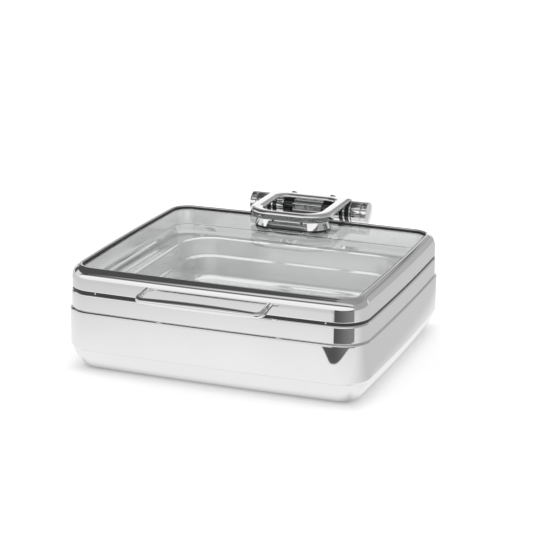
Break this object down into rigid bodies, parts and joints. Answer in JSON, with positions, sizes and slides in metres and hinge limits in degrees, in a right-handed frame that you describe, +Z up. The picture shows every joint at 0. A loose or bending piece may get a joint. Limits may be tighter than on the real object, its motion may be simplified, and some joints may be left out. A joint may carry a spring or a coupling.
{
  "type": "chafing dish",
  "caption": "Countertop induction chafing dish: polished steel water pan with convex sides, satin food pan, glass-windowed lid with bar handle and rear friction hinge.",
  "frame": {"origin": "middle of the flat face of the heating plate that the dish stands on", "axes": "+X to the right along the front, +Y from the handle to the hinge, +Z up"},
  "size_m": [0.4398, 0.4649, 0.1735],
  "materials": {
    "polished_steel": "mirror-polished stainless steel",
    "satin_steel": "satin stainless steel",
    "plate_steel": "matt magnetic steel heating plate",
    "dark_steel": "dark polished friction sleeves",
    "fastener_steel": "plain stainless fasteners",
    "clear_glass": "clear tempered glass",
    "black_rubber": "black silicone seal",
    "pale_silicone": "pale translucent silicone"
  },
  "bodies": {
    "base": {"base_shell": "polished_steel", "induction_plate": "plate_steel", "rim_frame": "polished_steel", "hinge_shaft": "fastener_steel", "hinge_block": "polished_steel", "block_screws": "fastener_steel", "hinge_bracket": "polished_steel", "backing_plate": "fastener_steel", "bracket_screws": "fastener_steel", "cap_screws": "fastener_steel", "friction_sleeves_right": "dark_steel", "spacer_rings_right": "polished_steel", "end_sleeve_right": "polished_steel", "end_cap_right": "polished_steel", "friction_sleeves_left": "dark_steel", "spacer_rings_left": "polished_steel", "end_sleeve_left": "polished_steel", "end_cap_left": "polished_steel"},
    "lid": {"lid_frame": "polished_steel", "lid_inner_ring": "satin_steel", "glass_window": "clear_glass", "glass_gasket": "black_rubber", "lid_bumpers": "pale_silicone", "handle": "polished_steel", "handle_screws": "fastener_steel", "hinge_yoke": "polished_steel", "yoke_screws": "fastener_steel", "lid_mount": "polished_steel", "yoke_shim": "black_rubber", "mount_gasket": "black_rubber", "mount_clamp": "satin_steel", "mount_screws": "fastener_steel", "knuckle_right": "dark_steel", "knuckle_left": "dark_steel", "collar_right": "polished_steel", "collar_left": "polished_steel"},
    "pan": {"food_pan": "satin_steel"}
  },
  "joints": [
    {"name": "lid_hinge", "type": "hinge", "parent": "base", "child": "lid", "pos_m": [0, 0.21705, 0.153], "axis": [-1, 0, 0], "range_deg": [0, 90]},
    {"name": "pan_lift", "type": "slide", "parent": "base", "child": "pan", "axis": [0, 0, 1], "range_m": [0, 0.025]}
  ]
}
